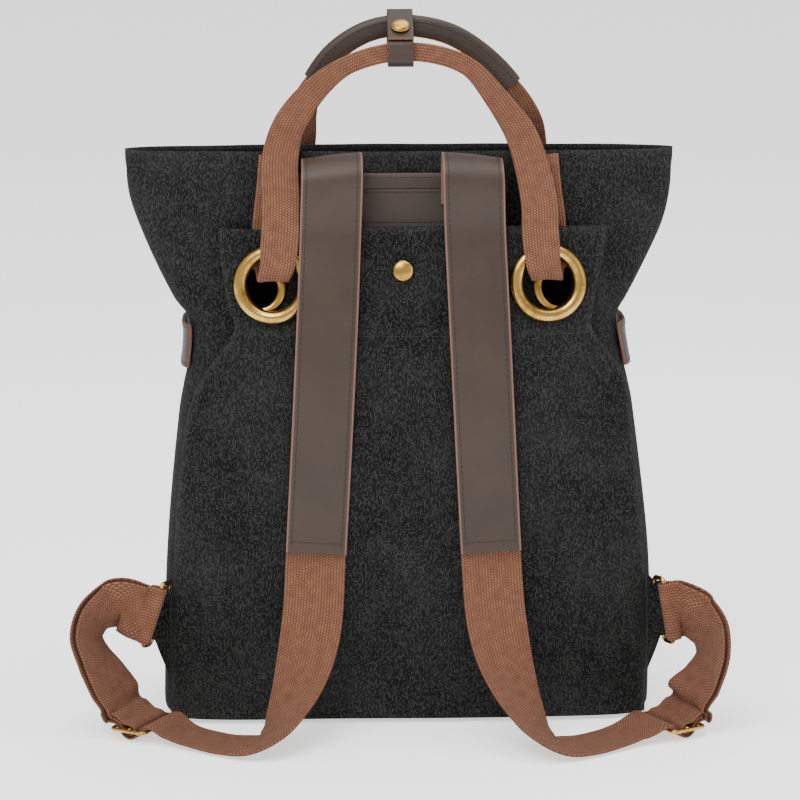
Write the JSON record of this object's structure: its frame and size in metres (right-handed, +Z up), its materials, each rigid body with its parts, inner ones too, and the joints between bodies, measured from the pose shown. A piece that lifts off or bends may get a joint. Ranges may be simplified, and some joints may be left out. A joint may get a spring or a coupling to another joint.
{
  "type": "canvas backpack",
  "caption": "Open-topped canvas bag with outer slip panels, leather and webbing shoulder straps, side rings and webbing carrying handles through brass grommets.",
  "frame": {"origin": "middle of the flat base that the bag stands on", "axes": "+Z up, -Y towards the shoulder straps, +X to the right of someone who faces the straps"},
  "size_m": [0.4361, 0.216, 0.4708],
  "materials": {
    "canvas": "washed charcoal cotton canvas, matt, with pale flecks",
    "leather": "oiled brown leather, satin, with raw pinkish cut edges",
    "webbing": "tan cotton webbing with a coarse weave, matt",
    "brass": "antique brass, satin, darker in the hollows"
  },
  "bodies": {
    "root": {"bag_body": "canvas", "bag_base": "canvas", "back_panel": "canvas", "front_panel": "canvas", "side_tab_left": "canvas", "side_tab_right": "canvas", "body_eyelet_left": "brass", "body_eyelet_right": "brass", "back_grommet_left": "brass", "back_grommet_right": "brass", "front_grommet_left": "brass", "front_grommet_right": "brass", "panel_stud": "brass", "keeper_stud": "brass", "strap_slider_left": "brass", "strap_slider_right": "brass", "strap_ring_left": "brass", "strap_ring_right": "brass", "anchor_patch": "leather", "anchor_strip": "leather", "side_band_left": "leather", "side_band_right": "leather", "strap_leather_left": "leather", "strap_leather_right": "leather", "handle_grip": "leather", "handle_keeper": "leather", "strap_webbing_left": "webbing", "strap_webbing_right": "webbing", "handle_back": "webbing", "handle_front": "webbing"}
  },
  "joints": []
}
